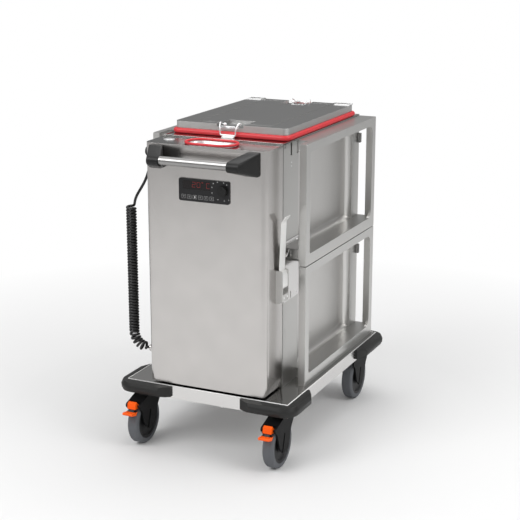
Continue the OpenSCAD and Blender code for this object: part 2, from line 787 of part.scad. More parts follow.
// Folded outer shell of the door, open at the back, with an opening for the vent in its top
module door_shell() place() color("silver") difference() {
    intersection() {
        along_z(door_z, body_top) door_plan(0);
        along_y(door_y - cut, liner_y) door_front(0);
    }
    intersection() {
        along_z(door_z + door_sheet, body_top - door_sheet) door_plan(door_sheet);
        along_y(door_y, liner_y) door_front(door_sheet);
    }
    block([-body_x + door_sheet, liner_y - 2, door_z + foot_up], [body_x - door_sheet, liner_y + cut, body_top - door_sheet]);
    along_z(body_top - 2 * door_sheet, body_top + cut) vent_oval(-7);
    translate([knob_x, 0, knob_z]) along_y(door_y - cut, door_y + 2 * door_sheet) circle(knob_shaft_r + running);
}

// Panel that closes the door's back, with a dished field round the fan cover
module door_liner() place() color("gainsboro") difference() {
    along_y(liner_y, door_back) door_front(0);
    along_y(door_back - 1, door_back + cut)
        round_rect([-150, chamber_z + 40], [150, chamber_z + chamber_h - 40], 20);
}

// Seal on the door's back, closing round the chamber's mouth
module door_seal() place() color("dimgray") along_y(door_back, body_y - seat) difference() {
    round_rect([-chamber_w / 2 - 22, chamber_z - 22], [chamber_w / 2 + 22, chamber_z + chamber_h + 22], 30);
    round_rect([-chamber_w / 2 - 8, chamber_z - 8], [chamber_w / 2 + 8, chamber_z + chamber_h + 8], 22);
}

// Slotted cover over the fan and heater on the door's inside
fan_half = 110;
fan_low = chamber_z + 110;
fan_high = fan_low + 260;
fan_out = 24;
module fan_cover() place() color("gainsboro") difference() {
    along_y(door_back - 1, door_back + fan_out) round_rect([-fan_half, fan_low], [fan_half, fan_high], 18);
    along_y(door_back - 1 - cut, door_back + fan_out - 2)
        round_rect([-fan_half + 2, fan_low + 2], [fan_half - 2, fan_high - 2], 16);
    for (z = [fan_low + 40 : 18 : fan_high - 40]) for (s = [-1, 1])
        along_y(door_back, door_back + fan_out + cut)
            translate([s * 48 - 38, z]) square([76, 7]);
}

// Handle bracket at the right: a wedge from its foot on the door to a broad round nose on the tube
tube_z = body_top - tube_down;
bracket_low = body_top - 80;
bracket_high = body_top - 5;
grip_in = 26;
module bracket() difference() {
    hull() {
        along_y(door_y - 10, door_y) round_rect([grip_half + 29, bracket_low], [grip_half + 75, bracket_high], 6, $fn = 32);
        translate([0, tube_y, tube_z - 2]) disc_x(grip_half, grip_half + 41, handle_nose, $fn = 32);
    }
    translate([0, tube_y, tube_z]) disc_x(grip_half - cut, grip_half + grip_in + seat, tube_d / 2 + 0.1);
}

module handle_bracket_right() place() color("dimgray") bracket();
module handle_bracket_left() place() color("dimgray") on_left() bracket();

// Handle tube, open ended
module handle_tube() place() color("white") translate([0, tube_y, tube_z]) difference() {
    half = grip_half + grip_in;
    disc_x(-half, half, tube_d / 2);
    disc_x(-half - cut, half + cut, tube_d / 2 - 2);
}

// Control panel: bezel, display window, row of keys and the turning knob
bezel_t = 5;
bezel_y = door_y - bezel_t;
panel_z = body_top - panel_down;
knob_x = 68;
knob_z = panel_z + 6;
knob_r = 16;
knob_shaft_r = 3;
window_low = [-75, panel_z + 2];
window_high = [23, panel_z + 30];
module control_bezel() place() color("black") difference() {
    along_y(bezel_y, door_y) round_rect([-panel_w / 2, panel_z - panel_h / 2], [panel_w / 2, panel_z + panel_h / 2], 7);
    along_y(bezel_y - cut, bezel_y + 1.5) round_rect(window_low, window_high, 2.5);
    translate([knob_x, 0, knob_z]) along_y(bezel_y - cut, door_y + cut) circle(knob_shaft_r + running);
}

module display_window() place() color("darkred")
    along_y(bezel_y + 0.5, bezel_y + 1.5) round_rect(window_low + [0.2, 0.2], window_high - [0.2, 0.2], 2.3);

module control_keys() place() color("gray")
    for (i = [0 : 5]) translate([-72 + i * 20, 0, panel_z - 22]) along_y(bezel_y - 0.8, bezel_y)
        round_rect([-8, -7], [8, 7], 2);

module control_knob() place() color("dimgray") translate([knob_x, 0, knob_z]) difference() {
    union() {
        along_y(bezel_y - 12, bezel_y - seat) circle(knob_r);
        along_y(bezel_y - 3, bezel_y - seat) circle(knob_r + 2);
        along_y(bezel_y - 1, door_y + 2 * door_sheet) circle(knob_shaft_r);
    }
    block([-1, bezel_y - 13, knob_r * 0.35], [1, bezel_y - 11, knob_r + 1]);
}

// Vent in the door's top: shallow steel dish with a red seal round it, and a round cap beside it
vent_depth = 8;
module vent_dish() place() color("white") difference() {
    union() {
        along_z(body_top, body_top + 1.5) vent_oval(-5);
        along_z(body_top - vent_depth, body_top + 1) vent_oval(-7.2);
    }
    along_z(body_top - vent_depth + 1.5, body_top + 2 * cut) vent_oval(-8.7);
}

module vent_seal() place() color("crimson") along_z(body_top, body_top + 2.6) difference() {
    vent_oval(0);
    vent_oval(-4.8);
}

cap_x = 51 - body_x;
cap_y = door_y + 74;
module vent_cap() place() color("silver") translate([cap_x, cap_y, body_top]) {
    cylinder(h = 1.5, r = 19);
    cylinder(h = 2.6, r = 14);
}

// ---- hinges ----

// Three hinges on the left: body leaves with their pins, and the door leaves between the knuckles
module at_hinges() place() for (z = hinge_zs) translate([hinge_x, hinge_y, z]) children();
leaf_l = 45;
knuckle_h = hinge_h / 3;
leaf_x = -hinge_x - body_x - leaf_t - seat;

module hinge_body_leaves() at_hinges() color("silver") {
    block([leaf_x, 10, 0], [leaf_x + leaf_t, leaf_l, hinge_h]);
    for (z = [0, 2 * knuckle_h + seat]) {
        block([hinge_pin_r - 1, 0, z], [leaf_x + leaf_t, 11, z + knuckle_h - seat]);
        translate([0, 0, z]) cylinder(h = knuckle_h - seat, r = knuckle_r);
    }
    cylinder(h = hinge_h, r = hinge_pin_r);
}

module hinge_door_leaves() at_hinges() color("silver") difference() {
    union() {
        block([leaf_x, -leaf_l, 0], [-hinge_x - body_x, -10, hinge_h]);
        block([hinge_pin_r, -11, knuckle_h], [leaf_x + leaf_t, 0, 2 * knuckle_h]);
        translate([0, 0, knuckle_h]) cylinder(h = knuckle_h, r = knuckle_r);
    }
    translate([0, 0, -cut]) cylinder(h = hinge_h + 2 * cut, r = hinge_pin_r + running);
}

// ---- door latch ----

// Housing on the door's right side: back plate, two ears with rounded tops and a closed foot
module latch_housing() place() color("silver") {
    x1 = body_x + latch_out;
    top = latch_z + latch_h;
    block([body_x, latch_y, latch_z - 8], [body_x + 3, latch_y + latch_w, top - 10]);
    for (y = [latch_y, latch_y + latch_w - ear_t]) along_y(y, y + ear_t) {
        polygon([
            [body_x, latch_z - 8], [x1 - 8, latch_z - 4], [x1, latch_z + 8], [x1, top - ear_r],
            [x1 - ear_r, top - ear_r], [x1 - ear_r, top], [body_x, top],
        ]);
        translate([x1 - ear_r, top - ear_r]) circle(ear_r);
    }
    block([body_x, latch_y, latch_z], [x1, latch_y + latch_w, latch_z + 24]);
    translate([latch_pivot_x, 0, latch_pivot_z]) along_y(latch_y + 1, latch_y + latch_w - 1) circle(3);
}

// Lever: root between the ears, then a broad leaning grip with a flared tip
grip_t = 2.5;
module latch_lever() place() color("silver") {
    y0 = latch_y + ear_t + 0.5;
    y1 = latch_y + latch_w - ear_t - 0.5;
    foot = [body_x + 8, latch_z + 92];
    tip = [body_x + 15, latch_z + 262];
    flare = [body_x + 29, latch_z + 282];
    difference() {
        union() {
            translate([latch_pivot_x, 0, latch_pivot_z]) along_y(y0, y1) circle(9);
            along_y(y0, y1) polygon([
                [latch_pivot_x - 9, latch_pivot_z], [latch_pivot_x + 9, latch_pivot_z],
                [body_x + latch_out - 2, latch_z + 84], foot + [8, 8], foot, [body_x + 4.5, latch_z + 80],
            ]);
            along_y(y0, y1) polygon([
                foot, tip, flare, flare + [grip_t, -2], tip + [grip_t, -2], foot + [grip_t + 1, 0],
            ]);
        }
        translate([latch_pivot_x, 0, latch_pivot_z]) along_y(y0 - cut, y1 + cut) circle(3 + running);
    }
}

// Keeper plate on the body's front post, with slots and a small sprung tongue
module keeper_plate() place() color("silver") {
    y0 = body_y + 2;
    difference() {
        block([body_x, y0, keeper_low], [body_x + keeper_t, bay_y, keeper_high]);
        for (z = [latch_z - 16, latch_z + 122]) block([body_x - cut, y0 + 52, z], [body_x + 3, y0 + 59, z + 22]);
        block([body_x - cut, y0 + 8, latch_z + 168], [body_x + 3, y0 + 54, latch_z + 174]);
    }
    along_y(y0 + 14, y0 + 22) polygon([
        [body_x, latch_z + 132], [body_x + 3, latch_z + 132], [body_x + 14, latch_z + 158],
        [body_x + 11, latch_z + 159], [body_x, latch_z + 138],
    ]);
}

// ---- cord ----

function unit(v) = v / norm(v);
function tangents(p) = [for (i = [0 : len(p) - 1]) unit(p[min(i + 1, len(p) - 1)] - p[max(i - 1, 0)])];
// Side vector carried along the path without twist
function sides_along(t) = [
    for (i = 0, u = unit(cross(t[0], [0.3, 1, 0.2])); i < len(t); i = i + 1,
        u = i < len(t) ? unit(u - (u * t[i]) * t[i]) : u) u,
];

module tube(path, r, sides) {
    t = tangents(path);
    u = sides_along(t);
    n = len(path);
    points = [for (i = [0 : n - 1]) for (k = [0 : sides - 1])
        path[i] + r * (cos(360 * k / sides) * u[i] + sin(360 * k / sides) * cross(t[i], u[i]))];
    walls = [for (i = [0 : n - 2]) for (k = [0 : sides - 1]) let (
        a = i * sides + k,
        b = i * sides + (k + 1) % sides
    ) each [[a, a + sides, b + sides], [a, b + sides, b]]];
    ends = [for (k = [1 : sides - 2]) each [
        [0, k, k + 1],
        [(n - 1) * sides, (n - 1) * sides + k + 1, (n - 1) * sides + k],
    ]];
    polyhedron(points = points, faces = concat(walls, ends));
}

// Middle line of the coil: out of the gland, round a quarter bend, then straight up
bend_l = coil_bend * PI / 2;
function axis_at(s) = s < bend_l
    ? [coil_x + coil_bend - coil_bend * sin(90 * s / bend_l), gland_z + coil_bend - coil_bend * cos(90 * s / bend_l)]
    : [coil_x, gland_z + coil_bend + s - bend_l];
function out_at(s) = s < bend_l
    ? [-sin(90 * s / bend_l), -cos(90 * s / bend_l)]
    : [-1, 0];

// Curls: wide steps round the bend, close steps above it, 8 rings a curl
bend_curls = 6;
bend_pitch = bend_l / bend_curls;
curls = bend_curls + floor((coil_top - gland_z - coil_bend) / curl_pitch);
curl_rings = 8;
function curl_s(n) = n < bend_curls ? n * bend_pitch : bend_l + (n - bend_curls) * curl_pitch;
function curl_radius(n) = curl_r * min(1, n / 0.9);
function curl_point(n) = let (s = curl_s(n), a = axis_at(s), o = out_at(s), r = curl_radius(n), turn = 360 * n + 180)
    [a[0] + r * cos(turn) * o[0], cord_y + r * sin(turn), a[1] + r * cos(turn) * o[1]];

last_ring = curls * curl_rings;
coil_path = [
    for (x = [gland_tip, gland_tip - cord_d]) [x, cord_y, gland_z],
    for (i = [1 : last_ring]) curl_point(i / curl_rings),
    tail_path[0] - [0, 0, cord_d],
    tail_path[0],
];

least_gap = min([for (i = [0 : len(coil_path) - 1]) for (j = [i + 5 : i + 12])
    if (j < len(coil_path)) norm(coil_path[i] - coil_path[j]) - cord_d]);
path_length = function (p) [for (i = 0, sum = 0; i < len(p); i = i + 1,
    sum = i < len(p) ? sum + norm(p[i] - p[i - 1]) : sum) sum][len(p) - 1];
echo(least_gap = least_gap, curls = curls, coil_length = path_length(coil_path));

module cord_coil() place() color("black") tube(coil_path, cord_r, 6);

module cord_tail() place() color("black") tube(tail_path, cord_r, 8);

// Metal gland: flange on the door, hexagon and a rounded nose
module cord_gland() place() color("white") translate([0, cord_y, gland_z]) {
    disc_x(-body_x - 4, -body_x, 20);
    disc_x(-body_x - 11, -body_x, 16, $fn = 6);
    disc_x(gland_tip + 4, -body_x, 12);
    translate([gland_tip, 0, 0]) rotate([0, 90, 0]) cylinder(h = 4, r1 = 8.5, r2 = 12);
}

// Flat angled plug parked in its socket, with the cord leaving downwards through a tapered relief
module cord_plug() place() color("black") translate([0, plug_y, 0]) {
    translate([0, 0, plug_z]) disc_x(plug_x - 6, -body_x - 8, plug_r);
    translate([0, 0, plug_z]) disc_x(plug_x - 9, plug_x - 5, plug_r - 3);
    translate([plug_x, 0, relief_z]) cylinder(h = plug_z - relief_z, r1 = cord_r + 1.5, r2 = 9);
}

module plug_socket() place() color("dimgray") translate([0, plug_y, plug_z]) difference() {
    union() {
        disc_x(-body_x - 4, -body_x, 24);
        disc_x(-body_x - 8 + seat, -body_x, 20);
    }
    for (s = [-1, 1]) translate([0, 0, s * 8]) disc_x(-body_x - 10, -body_x - 2, 2.6);
}

base_pan();
bumper_front_left();
bumper_front_right();
bumper_rear_left();
bumper_rear_right();
caster_plates();
caster_fork_fl();
caster_fork_fr();
caster_fork_rl();
caster_fork_rr();
caster_tyre_fl();
caster_tyre_fr();
caster_tyre_rl();
caster_tyre_rr();
caster_hub_fl();
caster_hub_fr();
caster_hub_rl();
caster_hub_rr();
brake_pedal_fl();
brake_pedal_fr();
body_shell();
body_liner();
tray_racks();
top_deck();
well_pan();
rear_stops();
frame_lower_left();
frame_lower_right();
frame_upper_left();
frame_upper_right();
hinge_body_leaves();
hinge_door_leaves();
keeper_plate();
lid_catches();
lid();
lid_seal();
lid_latch_mounts();
lid_bail_front();
lid_bail_rear();
door_shell();
door_liner();
door_seal();
fan_cover();
handle_bracket_left();
handle_bracket_right();
handle_tube();
control_bezel();
display_window();
control_keys();
control_knob();
latch_housing();
latch_lever();
vent_dish();
vent_seal();
vent_cap();
cord_gland();
cord_coil();
cord_tail();
cord_plug();
plug_socket();
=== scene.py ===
import json
import math

import bmesh
import bpy
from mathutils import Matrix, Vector


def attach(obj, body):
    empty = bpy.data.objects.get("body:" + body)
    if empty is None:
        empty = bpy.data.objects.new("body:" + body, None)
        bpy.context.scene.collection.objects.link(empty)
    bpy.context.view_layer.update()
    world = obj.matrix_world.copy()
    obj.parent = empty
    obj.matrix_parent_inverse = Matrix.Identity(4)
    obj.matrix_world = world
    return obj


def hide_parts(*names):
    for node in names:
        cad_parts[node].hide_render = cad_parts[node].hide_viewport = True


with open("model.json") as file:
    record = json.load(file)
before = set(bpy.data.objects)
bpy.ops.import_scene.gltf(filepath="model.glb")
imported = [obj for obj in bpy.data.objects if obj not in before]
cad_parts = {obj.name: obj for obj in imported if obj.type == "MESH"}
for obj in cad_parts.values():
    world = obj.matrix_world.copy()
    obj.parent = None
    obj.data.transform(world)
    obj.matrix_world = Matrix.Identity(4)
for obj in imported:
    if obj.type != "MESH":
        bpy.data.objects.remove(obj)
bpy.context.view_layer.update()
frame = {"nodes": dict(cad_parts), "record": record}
nodes = frame["nodes"]
frontEdge = -0.3808  # y of the base plate's front edge; sizes below are counted from it, in millimetres


def at(x, y, z):
    return Vector((x / 1000, y / 1000 + frontEdge, z / 1000))


# camera

camera = {"lens": 90.26, "x": 1866.6, "y": -3581.9, "z": 1775.5, "pitch": 15.24, "turn": 24.98}


def placeCamera(spec):
    data = bpy.data.cameras.new("camera")
    data.lens = spec["lens"]
    data.clip_end = 60
    eye = bpy.data.objects.new("camera", data)
    eye.location = at(spec["x"], spec["y"], spec["z"])
    eye.rotation_euler = (math.radians(90 - spec["pitch"]), 0, math.radians(spec["turn"]))
    bpy.context.collection.objects.link(eye)
    bpy.context.scene.camera = eye


placeCamera(camera)
print("camera placed")


# shader helpers

class Value:  # a socket in a sum: operators add Math nodes
    def __init__(self, tree, out):
        self.tree, self.out = tree, out

    def maths(self, operation, first, second=None):
        step = self.tree.nodes.new("ShaderNodeMath")
        step.operation = operation
        for slot, value in zip(step.inputs, (first, second)):
            if isinstance(value, Value):
                self.tree.links.new(value.out, slot)
            elif value is not None:
                slot.default_value = value
        return Value(self.tree, step.outputs[0])

    def __add__(self, other):
        return self.maths("ADD", self, other)

    def __sub__(self, other):
        return self.maths("SUBTRACT", self, other)

    def __mul__(self, other):
        return self.maths("MULTIPLY", self, other)

    __radd__ = __add__

    def held(self):
        return self.maths("MINIMUM", self.maths("MAXIMUM", self, 0.0), 1.0)


class Finish:  # one material: its shader and the nodes that feed it
    def __init__(self, name, **sockets):
        self.material = bpy.data.materials.new(name)
        self.material.use_nodes = True
        self.tree = self.material.node_tree
        self.shader = self.tree.nodes["Principled BSDF"]
        for socket, value in sockets.items():
            self.feed(socket.replace("_", " "), value)

    def feed(self, socket, value):
        slot = self.shader.inputs[socket]
        if isinstance(value, Value):
            self.tree.links.new(value.out, slot)
        elif hasattr(value, "__len__") and len(value) == 3:
            slot.default_value = (*value, 1)
        else:
            slot.default_value = value

    def node(self, kind, settings=None, values=None, out=0):
        made = self.tree.nodes.new(kind)
        for key, value in (settings or {}).items():
            if key == "stops":
                ramp = made.color_ramp.elements
                while len(ramp) < len(value):
                    ramp.new(0.5)
                for stop, (place, colour) in zip(ramp, value):
                    stop.position, stop.color = place, (*colour, 1)
            else:
                setattr(made, key, value)
        for key, value in (values or {}).items():
            if isinstance(value, Value):
                self.tree.links.new(value.out, made.inputs[key])
            elif hasattr(value, "__len__") and len(value) == 3 and made.inputs[key].type == "RGBA":
                made.inputs[key].default_value = (*value, 1)
            else:
                made.inputs[key].default_value = value
        return Value(self.tree, made.outputs[out])

    def place(self, scale=(1, 1, 1)):
        here = self.node("ShaderNodeTexCoord", out=3)
        return self.node("ShaderNodeMapping", {}, {"Vector": here, "Scale": scale})

    def noise(self, size, scale=(1, 1, 1), detail=3.0):
        values = {"Vector": self.place(scale), "Scale": 1 / size, "Detail": detail}
        return self.node("ShaderNodeTexNoise", {}, values)

    def blend(self, mask, first, second):
        return self.node("ShaderNodeMix", {"data_type": "RGBA"}, {0: mask, 6: first, 7: second}, out=2)

    def bump(self, height, distance, strength=1.0):
        values = {"Height": height, "Distance": distance, "Strength": strength}
        self.feed("Normal", self.node("ShaderNodeBump", {}, values))


# finishes

def rolledSteel(
    name, colour, rough, grain=(1, 1, 1), wave=0.000004, stain=0.025, metal=1.0, grit=0.03, paintedTopShade=0.0,
):
    steel = Finish(name, Metallic=metal)
    broad = steel.noise(0.25)
    brush = steel.noise(0.0012, grain, 4.0)
    smudge = steel.noise(0.09, detail=5.0)
    dark = [c * 0.95 for c in colour]
    shade = smudge
    # painted shade: the colour is darkened towards the top, standing in for the darker reflection there;
    # smudge alone is random tone
    if paintedTopShade:  # darker towards the top
        height = steel.node("ShaderNodeSeparateXYZ", {}, {0: steel.place()}, out=2)
        shade = (smudge - (height - 0.3) * paintedTopShade).held()
        dark = [c * 0.84 for c in colour]
    steel.feed("Base Color", steel.blend(shade, dark, colour))
    steel.feed("Roughness", (rough + (brush - 0.5) * grit + (smudge - 0.5) * stain).held())
    steel.bump(broad + brush * 0.02, wave)
    return steel.material


def moulded(name, colour, rough, texture=0.0012, depth=0.00002, shine=0.5):
    plastic = Finish(name, Specular_IOR_Level=shine)
    speck = plastic.noise(texture, detail=2.0)
    wear = plastic.noise(0.03, detail=6.0)
    light = [min(1, c * 1.2 + 0.002) for c in colour]
    plastic.feed("Base Color", plastic.blend(wear, colour, light))
    plastic.feed("Roughness", (rough + (wear - 0.5) * 0.10).held())
    plastic.bump(speck, depth)
    return plastic.material


finishes = {
    # the door's colour carries painted shade that deepens towards the top
    "door": rolledSteel("doorSteel", (0.615, 0.595, 0.58), 0.20, (1, 1, 0.04), grit=0.015, paintedTopShade=0.5),
    # vent dish: near-white steel as a painted reflection of the bright surroundings
    "dish": rolledSteel("dishSteel", (0.92, 0.92, 0.92), 0.30),
    "tube": rolledSteel("tubeSteel", (0.335, 0.33, 0.325), 0.30, (0.04, 1, 1), 0.0000005, 0.01, grit=0.01),
    "body": rolledSteel("bodySteel", (0.57, 0.565, 0.55), 0.34, (1, 1, 0.04), grit=0.015),
    # bay walls: a lighter copy of the body steel, painted light against the bay's shade
    "bay": rolledSteel("baySteel", (0.68, 0.67, 0.655), 0.36, (1, 1, 0.04), grit=0.015),
    "frame": rolledSteel("frameSteel", (0.62, 0.615, 0.60), 0.30, (1, 0.04, 1)),
    "pan": rolledSteel("panSteel", (0.72, 0.71, 0.70), 0.16, (0.04, 1, 1), 0.000002, 0.01),
    "deck": rolledSteel("deckSteel", (0.46, 0.46, 0.45), 0.16, (1, 0.04, 1), 0.000002, 0.01),
    # upward faces of the door shell: a darker copy of the door steel, painted shade
    "doorTopPaintedShade": rolledSteel("doorTopSteelPaintedShade", (0.30, 0.30, 0.295), 0.18, (0.04, 1, 1), 0.000002, 0.01),
    # upward faces of the base pan: a darker copy of the pan steel, painted shade
    "panTopPaintedShade": rolledSteel("panTopSteelPaintedShade", (0.52, 0.515, 0.505), 0.14, (0.04, 1, 1), 0.000002, 0.01),
    # edge steel: near-white strips along the pan's rim as a painted highlight
    "edge": rolledSteel("edgeHighlightSteel", (0.92, 0.92, 0.91), 0.40, metal=0.3),
    "zinc": rolledSteel("zincSteel", (0.93, 0.93, 0.93), 0.34),
    "latch": rolledSteel("latchSteel", (0.60, 0.595, 0.58), 0.34, (1, 1, 0.04), metal=0.55),
    # latch lever: steel lightened well past the housing's as painted light, so its shaded back reads lit in
    # the door's reflection
    "lever": rolledSteel("leverSteel", (0.92, 0.915, 0.90), 0.34, (1, 1, 0.04), metal=0.5),
    # lid top: a darker copy of the lid steel as painted shade; its sides take the lighter skirt copy below
    # as painted highlight
    "lid": rolledSteel("lidSteelPaintedShade", (0.31, 0.31, 0.308), 0.30, (1, 0.04, 1), grit=0.015),
    "skirt": rolledSteel("skirtSteel", (0.58, 0.58, 0.57), 0.44, (0.04, 1, 1)),
    # pale steel: the bails' own bright wire, lightened further, and painted highlight on the lid's recess
    # walls, the deck's front and the lid lugs
    "paleAndHighlight": rolledSteel("paleSteelAndPaintedHighlight", (0.95, 0.95, 0.95), 0.45),
    "cap": rolledSteel("capSteel", (0.76, 0.76, 0.76), 0.40),
    "bumper": moulded("bumperRubber", (0.014, 0.014, 0.0135), 0.46, 0.0015, shine=0.30),
    "fork": moulded("forkPlastic", (0.005, 0.005, 0.0055), 0.55, shine=0.15),
    "black": moulded("blackPlastic", (0.008, 0.008, 0.008), 0.42, shine=0.28),
    "hub": moulded("hubPlastic", (0.009, 0.009, 0.010), 0.45, shine=0.3),
    "tyre": moulded("tyreRubber", (0.098, 0.103, 0.112), 0.60, 0.002, shine=0.3),
    "orange": moulded("orangePlastic", (0.82, 0.10, 0.004), 0.45, shine=0.15),
    "cord": moulded("cordSheath", (0.008, 0.008, 0.008), 0.36),
    "red": moulded("redSeal", (0.56, 0.028, 0.036), 0.36, shine=0.4),
    "panel": moulded("panelFoil", (0.012, 0.012, 0.013), 0.34, 0.001, 0.000005, 0.3),
    "key": moulded("keyFoil", (0.012, 0.012, 0.013), 0.40, 0.001, 0.000005, 0.3),
    "mark": moulded("whiteInk", (0.50, 0.50, 0.50), 0.5, 0.001, 0.00001),
    "faint": moulded("greyInk", (0.30, 0.30, 0.30), 0.5, 0.001, 0.00001),
    "window": moulded("redWindow", (0.0085, 0.0065, 0.0068), 0.20, 0.003, 0.000005, 0.3),
    "grey": moulded("greyPlastic", (0.22, 0.215, 0.21), 0.5),
}
glow = {"Base_Color": (0.22, 0.012, 0.012), "Emission_Color": (1.0, 0.05, 0.05), "Emission_Strength": 0.06}
led = Finish("ledRed", **glow)
finishes["led"] = led.material
print("finishes made")


# cord: out of the gland, round the bend, up in curls, then up to the plug

cord = {
    "thick": 9, "y": 50, "glandTip": -236, "glandZ": 331, "coilX": -295, "bend": 50, "top": 818,
    "curlRadius": 13.5, "pitch": 9.9, "bendCurls": 6, "steps": 20,
    "opening": 0.9,  # turns in which the first curl opens to its full radius
    "tail": [
        (-281.5, 50, 828), (-281.5, 50, 838), (-279, 50.5, 848), (-274, 52, 858), (-266.5, 54.5, 869),
        (-257.5, 57.5, 880), (-250, 60.5, 891), (-244.5, 64, 903), (-240.5, 67.5, 916), (-238, 71.5, 930),
        (-236.5, 75, 943), (-236, 76.5, 951), (-236, 76.5, 960),
    ],
}


def cordRoute(spec):
    coilX, glandZ, bend = spec["coilX"], spec["glandZ"], spec["bend"]
    curls = spec["bendCurls"] + int((spec["top"] - glandZ - bend) / spec["pitch"])

    def curlPoint(turns):
        if turns < spec["bendCurls"]:
            angle = math.pi / 2 * turns / spec["bendCurls"]
            middle = (coilX + bend * (1 - math.sin(angle)), glandZ + bend * (1 - math.cos(angle)))
            outward = (-math.sin(angle), -math.cos(angle))
        else:
            middle = (coilX, glandZ + bend + (turns - spec["bendCurls"]) * spec["pitch"])
            outward = (-1, 0)
        radius = spec["curlRadius"] * min(1, turns / spec["opening"])
        turn = 2 * math.pi * turns + math.pi
        swing = radius * math.cos(turn)
        y = spec["y"] + radius * math.sin(turn)
        return (middle[0] + swing * outward[0], y, middle[1] + swing * outward[1])

    tip = spec["glandTip"]
    route = [(tip, spec["y"], glandZ), (tip - spec["thick"], spec["y"], glandZ)]
    route += [curlPoint(i / spec["steps"]) for i in range(2, curls * spec["steps"] - 2)]
    joint = len(route)
    x, y, z = spec["tail"][0]
    route += [(x, y, z - spec["thick"]), (x, y, z - 4), *spec["tail"]]
    for _ in range(6):  # eases the corners between curls and straight cord
        for i in [*range(2, 12), *range(joint - 6, len(route) - 2)]:
            route[i] = tuple((a + 2 * b + c) / 4 for a, b, c in zip(route[i - 1], route[i], route[i + 1]))
    return [at(*p) for p in route]


def drawCord(spec):
    route = cordRoute(spec)
    data = bpy.data.curves.new("mainsCord", "CURVE")
    data.dimensions = "3D"
    data.bevel_depth = spec["thick"] / 2000
    data.bevel_resolution = 3
    data.use_fill_caps = True
    line = data.splines.new("POLY")
    line.points.add(len(route) - 1)
    for point, place in zip(line.points, route):
        point.co = (*place, 1)
    piece = bpy.data.objects.new("mainsCord", data)
    bpy.context.collection.objects.link(piece)
    data.materials.append(finishes["cord"])
    length = sum((b - a).length for a, b in zip(route, route[1:]))
    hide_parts("cord_coil", "cord_tail")
    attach(piece, "door")
    return length


print("cord drawn, metres:", round(drawCord(cord), 3))


# CAD nodes: finishes, and copies with rounded edges where light catches them

nodeFinish = {
    "door": ["door_shell", "cord_gland"],
    "dish": ["vent_dish"],
    "latch": ["latch_housing"],
    "lever": ["latch_lever"],
    "fork": ["caster_fork_fl", "caster_fork_fr", "caster_fork_rl", "caster_fork_rr"],
    "cap": ["vent_cap"],
    "tube": ["handle_tube"],
    "body": ["body_shell", "body_liner", "tray_racks", "well_pan", "door_liner", "fan_cover"],
    "frame": ["frame_lower_left", "frame_lower_right", "frame_upper_left", "frame_upper_right"],
    "pan": ["base_pan", "hinge_body_leaves", "hinge_door_leaves", "keeper_plate"],
    "deck": ["top_deck"],
    "lid": ["lid"],
    "zinc": ["caster_plates", "lid_catches", "lid_latch_mounts", "lid_bail_front", "lid_bail_rear"],
    "bumper": [
        "bumper_front_left", "bumper_front_right", "bumper_rear_left", "bumper_rear_right", "door_seal",
    ],
    "black": [
        "handle_bracket_left", "handle_bracket_right", "control_knob", "plug_socket", "cord_plug",
    ],
    "hub": ["caster_hub_fl", "caster_hub_fr", "caster_hub_rl", "caster_hub_rr"],
    "tyre": ["caster_tyre_fl", "caster_tyre_fr", "caster_tyre_rl", "caster_tyre_rr"],
    "orange": ["brake_pedal_fl", "brake_pedal_fr"],
    "red": ["lid_seal", "vent_seal"],
    "panel": ["control_bezel"],
    "window": ["display_window"],
    "key": ["control_keys"],
    "grey": ["rear_stops"],
}
for finish, names in nodeFinish.items():
    for name in names:
        data = nodes[name].data
        data.materials.clear()
        data.materials.append(finishes[finish])
nodeBody = {n: body for body, names in frame["record"]["behaviour"]["bodies"].items() for n in names}


def addPiece(name, mesh, finish, body):
    mesh.materials.clear()
    mesh.materials.append(finishes[finish])
    piece = bpy.data.objects.new(name, mesh)
    bpy.context.collection.objects.link(piece)
    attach(piece, body)
    return piece


rounding = {  # millimetres of rounding on each node's edges
    "handle_tube": 0.4,
    "caster_tyre_fl": 0.5, "caster_tyre_fr": 0.5, "caster_tyre_rl": 0.5, "caster_tyre_rr": 0.5,
    "control_knob": 0.8, "lid_seal": 0.2, "vent_cap": 0.8, "plug_socket": 0.8, "cord_gland": 0.5,
    "keeper_plate": 0.4, "hinge_body_leaves": 0.5, "hinge_door_leaves": 0.5,
    "well_pan": 0.6, "vent_dish": 0.5,
    "rear_stops": 1.0, "lid_latch_mounts": 0.5, "lid_catches": 0.5,
    "door_shell": 1.6, "body_shell": 1.2, "top_deck": 0.7, "base_pan": 2.4, "lid": 1.6,
    "frame_lower_left": 1.0, "frame_lower_right": 1.0, "frame_upper_left": 1.0, "frame_upper_right": 1.0,
    "handle_bracket_left": 2.2, "handle_bracket_right": 2.2, "control_bezel": 0.8, "latch_housing": 0.8,
    "latch_lever": 0.9, "brake_pedal_fl": 1.2, "brake_pedal_fr": 1.2,
    "bumper_front_left": 2.0, "bumper_front_right": 2.0, "bumper_rear_left": 2.0, "bumper_rear_right": 2.0,
    "caster_fork_fl": 1.2, "caster_fork_fr": 1.2, "caster_fork_rl": 1.2, "caster_fork_rr": 1.2,
}


